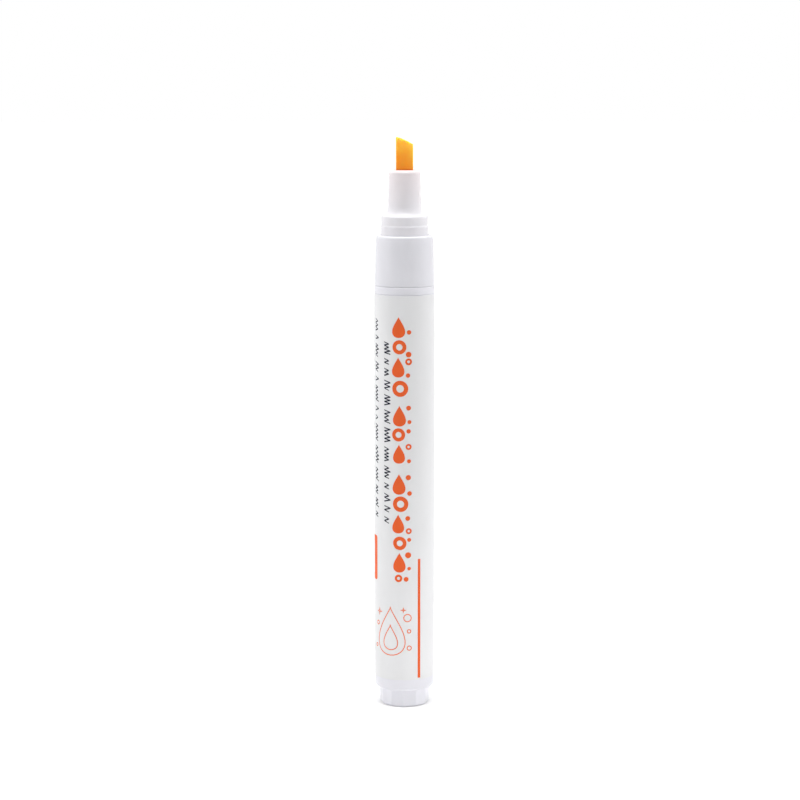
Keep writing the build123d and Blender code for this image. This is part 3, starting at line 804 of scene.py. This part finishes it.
def makeSpring(values):
    bm = bmesh.new()
    circle = bmesh.ops.create_circle(
        bm, cap_ends=False, segments=values["sections"], radius=values["wire"],
        matrix=Matrix.Translation((values["coil"], 0, values["foot"] + values["wire"])) @
        Matrix.Rotation(pi / 2, 4, "X"))["verts"]
    geometry = circle + list({e for v in circle for e in v.link_edges})
    first = [g for g in geometry if isinstance(g, bmesh.types.BMEdge)]
    for turns, rise in values["runs"]:
        steps = int(turns * values["turnSteps"])
        geometry = bmesh.ops.spin(bm, geom=geometry, axis=(0, 0, 1), cent=(0, 0, 0),
                                  dvec=(0, 0, rise / steps), angle=2 * pi * turns, steps=steps,
                                  use_merge=False, use_duplicate=False)["geom_last"]
    last = [g for g in geometry if isinstance(g, bmesh.types.BMEdge)]
    for end in (first, last):
        bmesh.ops.edgeloop_fill(bm, edges=end)
    bmesh.ops.remove_doubles(bm, verts=bm.verts, dist=mergeDistance)
    bmesh.ops.recalc_face_normals(bm, faces=bm.faces)
    return bm


coil = finishPiece(makeSpring(spring), "springCoil", "pen", springSteel, ["valve_spring"])
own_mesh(coil)
print("spring made")


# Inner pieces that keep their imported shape

innerFinishes = {
    "neck_gasket": sealRubber, "valve_seal": sealRubber, "valve_housing": milkyPlastic,
    "spring_cage": milkyPlastic, "valve_stem": milkyPlastic, "nib_cup": milkyPlastic,
}
for name, material in innerFinishes.items():
    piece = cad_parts[name]
    piece.data.materials.clear()
    piece.data.materials.append(material)
print("inner pieces finished")


# Floor, light and camera

studio = {
    "floorReach": 4.0, "floorColour": (0.81, 0.81, 0.81),
    "floorLift": ((0.0, 0.2), (0.27, 0.17), (0.52, 0.36), (0.95, 0.75), (1.31, 0.88), (1.9, 0.97),
                  (4.0, 1.02)),   # distance in metres, and the white added there
    "skyForCamera": 1.0, "skyForObject": 0.1,
    "lamps": {
        "leftSoftbox": {"place": (-0.75, -0.1, 0.3), "size": 0.7, "power": 2.6, "shine": False},
        "rightSoftbox": {"place": (0.75, -0.1, 0.3), "size": 0.7, "power": 2.42, "shine": False},
        "leftRim": {"place": (-0.6, 0.45, 0.25), "size": 0.5, "power": 1.07, "shine": False},
        "rightRim": {"place": (0.6, 0.45, 0.25), "size": 0.5, "power": 1.07, "shine": False},
        "topSoftbox": {"place": (0.0, -0.1, 0.95), "size": 0.7, "power": 9.6},
        "lowFrontFill": {"place": (0.018, -0.05, 0.014), "size": 0.026, "power": 0.0029},
        "lowBackFill": {"place": (0.0, 0.05, 0.014), "size": 0.026, "power": 0.0024},
    },
    "aimHeight": 0.08,
}


def seenDirectly(tree):
    # 1 where the camera, a shine or a clear piece shows the background, and 0 for its light
    path = addNode(tree, "ShaderNodeLightPath")
    seen = path.outputs["Is Camera Ray"]
    for other in ("Is Glossy Ray", "Is Transmission Ray"):
        either = addNode(tree, "ShaderNodeMath", operation="MAXIMUM")
        tree.links.new(seen, either.inputs[0])
        tree.links.new(path.outputs[other], either.inputs[1])
        seen = either.outputs[0]
    return seen


def makeFloor(values):
    bm = bmesh.new()
    bmesh.ops.create_circle(bm, cap_ends=True, segments=64, radius=values["floorReach"])
    mesh = bpy.data.meshes.new("studioFloor")
    bm.to_mesh(mesh)
    bm.free()
    material, tree, shader = newMaterial("studioFloor", Roughness=0.9, Specular_IOR_Level=0.0)
    shader.inputs["Base Color"].default_value = (*values["floorColour"], 1)
    # the floor turns white away from the pen, and keeps a soft shadow beside it
    place = addNode(tree, "ShaderNodeTexCoord")
    away = addNode(tree, "ShaderNodeVectorMath", operation="LENGTH")
    share = addNode(tree, "ShaderNodeMath", {1: values["floorReach"]}, operation="DIVIDE")
    fade = addNode(tree, "ShaderNodeValToRGB")
    stops = [(distance / values["floorReach"], added) for distance, added in values["floorLift"]]
    for element, (position, added) in zip(fade.color_ramp.elements, (stops[0], stops[-1])):
        element.position = position
        element.color = (added, added, added, 1)
    for position, added in stops[1:-1]:
        fade.color_ramp.elements.new(position).color = (added, added, added, 1)
    tree.links.new(place.outputs["Object"], away.inputs[0])
    tree.links.new(away.outputs["Value"], share.inputs[0])
    tree.links.new(share.outputs[0], fade.inputs["Fac"])
    lift = addNode(tree, "ShaderNodeMath", operation="MULTIPLY")
    tree.links.new(seenDirectly(tree), lift.inputs[0])
    tree.links.new(fade.outputs["Color"], lift.inputs[1])
    tree.links.new(lift.outputs[0], shader.inputs["Emission Strength"])
    shader.inputs["Emission Color"].default_value = (1, 1, 1, 1)
    mesh.materials.append(material)
    floor = addToScene("studioFloor", mesh)


def makeSky(values):
    world = bpy.data.worlds.new("whiteRoom")
    world.use_nodes = True
    tree = world.node_tree
    background = tree.nodes["Background"]
    background.inputs["Color"].default_value = (1, 1, 1, 1)
    tree.links.new(spread(tree, seenDirectly(tree), values["skyForObject"], values["skyForCamera"]),
                   background.inputs["Strength"])
    bpy.context.scene.world = world


def makeLamps(values):
    for name, lamp in values["lamps"].items():
        light = bpy.data.lights.new(name, "AREA")
        light.shape = "SQUARE"
        light.size = lamp["size"]
        light.energy = lamp["power"]
        holder = addToScene(name, light)
        holder.location = lamp["place"]
        toward = Vector((0, 0, min(values["aimHeight"], lamp["place"][2]))) - Vector(lamp["place"])
        holder.rotation_euler = toward.to_track_quat("-Z", "Y").to_euler()
        holder.visible_camera = False
        # the side lamps would burn out the pen's edges
        holder.visible_glossy = lamp.get("shine", True)


makeFloor(studio)
makeSky(studio)
makeLamps(studio)

view = {"place": (-1.12, -620.0, 169.0), "down": 8.42, "lens": 113.1, "sensor": 36.0,
        "nearest": 0.01}
lens = bpy.data.cameras.new("photoView")
lens.lens = view["lens"]
lens.sensor_width = view["sensor"]
lens.clip_start = view["nearest"]
camera = addToScene("photoView", lens)
camera.location = Vector(view["place"]) * mm
camera.rotation_euler = (radians(90 - view["down"]), 0, 0)
bpy.context.scene.camera = camera
bpy.context.scene.view_settings.view_transform = "Standard"
print("floor, light and camera set")
